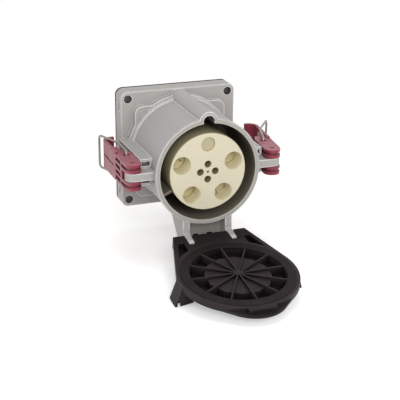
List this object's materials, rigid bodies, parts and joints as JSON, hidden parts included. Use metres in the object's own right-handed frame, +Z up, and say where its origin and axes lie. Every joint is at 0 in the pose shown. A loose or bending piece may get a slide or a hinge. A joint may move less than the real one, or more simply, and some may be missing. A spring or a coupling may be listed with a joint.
{
  "type": "industrial panel socket",
  "caption": "Heavy-duty panel socket: square flange, deep round barrel, cream contact block, open hinged black lid and red draw latches with wire bails.",
  "frame": {"origin": "centre of the flange's back face, in the middle of the four mounting holes", "axes": "+Y back through the panel, +X to the right as seen from the front, +Z up towards the keyway"},
  "size_m": [0.2067, 0.2848, 0.1739],
  "materials": {
    "housing_paint": "cast light alloy, light warm grey paint, fine speckle",
    "gasket_rubber": "black sheet rubber",
    "insulator_cream": "cream moulded thermoset, satin",
    "shutter_plastic": "cream moulded plastic, satin",
    "carrier_plastic": "buff moulded thermoset",
    "stainless": "stainless steel",
    "lid_plastic": "charcoal moulded plastic, fine grain",
    "seal_rubber": "soft black rubber",
    "latch_red": "dark red glass-filled nylon, satin",
    "bail_wire": "drawn stainless wire",
    "silvered_copper": "silver-faced copper",
    "spring_steel": "spring steel",
    "terminal_brass": "turned brass"
  },
  "bodies": {
    "socket": {"housing": "housing_paint", "panel_gasket": "gasket_rubber", "contact_block": "insulator_cream", "blanking_plug": "insulator_cream", "contact_retainer": "carrier_plastic", "contact_carrier": "carrier_plastic", "contact_spring_1": "spring_steel", "contact_spring_2": "spring_steel", "contact_spring_3": "spring_steel", "contact_spring_4": "spring_steel", "power_terminal_1": "terminal_brass", "power_terminal_2": "terminal_brass", "power_terminal_3": "terminal_brass", "power_terminal_4": "terminal_brass", "pilot_contact_1": "terminal_brass", "pilot_contact_2": "terminal_brass", "pilot_contact_3": "terminal_brass", "pilot_contact_4": "terminal_brass", "block_screws": "stainless", "terminal_screws": "stainless", "hinge_pin": "stainless", "left_latch_pin": "stainless", "right_latch_pin": "stainless"},
    "lid_body": {"lid": "lid_plastic", "lid_seal": "seal_rubber"},
    "left_lever": {"left_latch_lever": "latch_red"},
    "right_lever": {"right_latch_lever": "latch_red"},
    "left_wire": {"left_bail": "bail_wire"},
    "right_wire": {"right_bail": "bail_wire"},
    "shutter": {"safety_shutter": "shutter_plastic"},
    "contact_1": {"power_contact_1": "silvered_copper"},
    "contact_2": {"power_contact_2": "silvered_copper"},
    "contact_3": {"power_contact_3": "silvered_copper"},
    "contact_4": {"power_contact_4": "silvered_copper"}
  },
  "joints": [
    {"name": "lid_hinge", "type": "hinge", "parent": "socket", "child": "lid_body", "pos_m": [0, -0.1285, -0.0788], "axis": [1, 0, 0], "range_deg": [-97.5, 0]},
    {"name": "left_latch_pivot", "type": "hinge", "parent": "socket", "child": "left_lever", "pos_m": [-0.081, -0.103, 0], "axis": [0, 0, -1], "range_deg": [-150, 0]},
    {"name": "right_latch_pivot", "type": "hinge", "parent": "socket", "child": "right_lever", "pos_m": [0.081, -0.103, 0], "axis": [0, 0, 1], "range_deg": [-144, 6]},
    {"name": "left_bail_swing", "type": "hinge", "parent": "left_lever", "child": "left_wire", "pos_m": [-0.0793, -0.0755, 0], "axis": [0, 0, 1], "range_deg": [0, 180]},
    {"name": "right_bail_swing", "type": "hinge", "parent": "right_lever", "child": "right_wire", "pos_m": [0.08218, -0.07547, 0], "axis": [0, 0, -1], "range_deg": [-10, 170]},
    {"name": "shutter_turn", "type": "hinge", "parent": "socket", "child": "shutter", "pos_m": [0, -0.09315, 0], "axis": [0, -1, 0], "range_deg": [0, 36]},
    {"name": "contact_1_travel", "type": "slide", "parent": "socket", "child": "contact_1", "axis": [0, 1, 0], "range_m": [0, 0.004], "stiffness_N_per_m": 4000, "springref_m": -0.004, "deforming": ["contact_spring_1"]},
    {"name": "contact_2_travel", "type": "slide", "parent": "socket", "child": "contact_2", "axis": [0, 1, 0], "range_m": [0, 0.004], "stiffness_N_per_m": 4000, "springref_m": -0.004, "deforming": ["contact_spring_2"]},
    {"name": "contact_3_travel", "type": "slide", "parent": "socket", "child": "contact_3", "axis": [0, 1, 0], "range_m": [0, 0.004], "stiffness_N_per_m": 4000, "springref_m": -0.004, "deforming": ["contact_spring_3"]},
    {"name": "contact_4_travel", "type": "slide", "parent": "socket", "child": "contact_4", "axis": [0, 1, 0], "range_m": [0, 0.004], "stiffness_N_per_m": 4000, "springref_m": -0.004, "deforming": ["contact_spring_4"]}
  ]
}
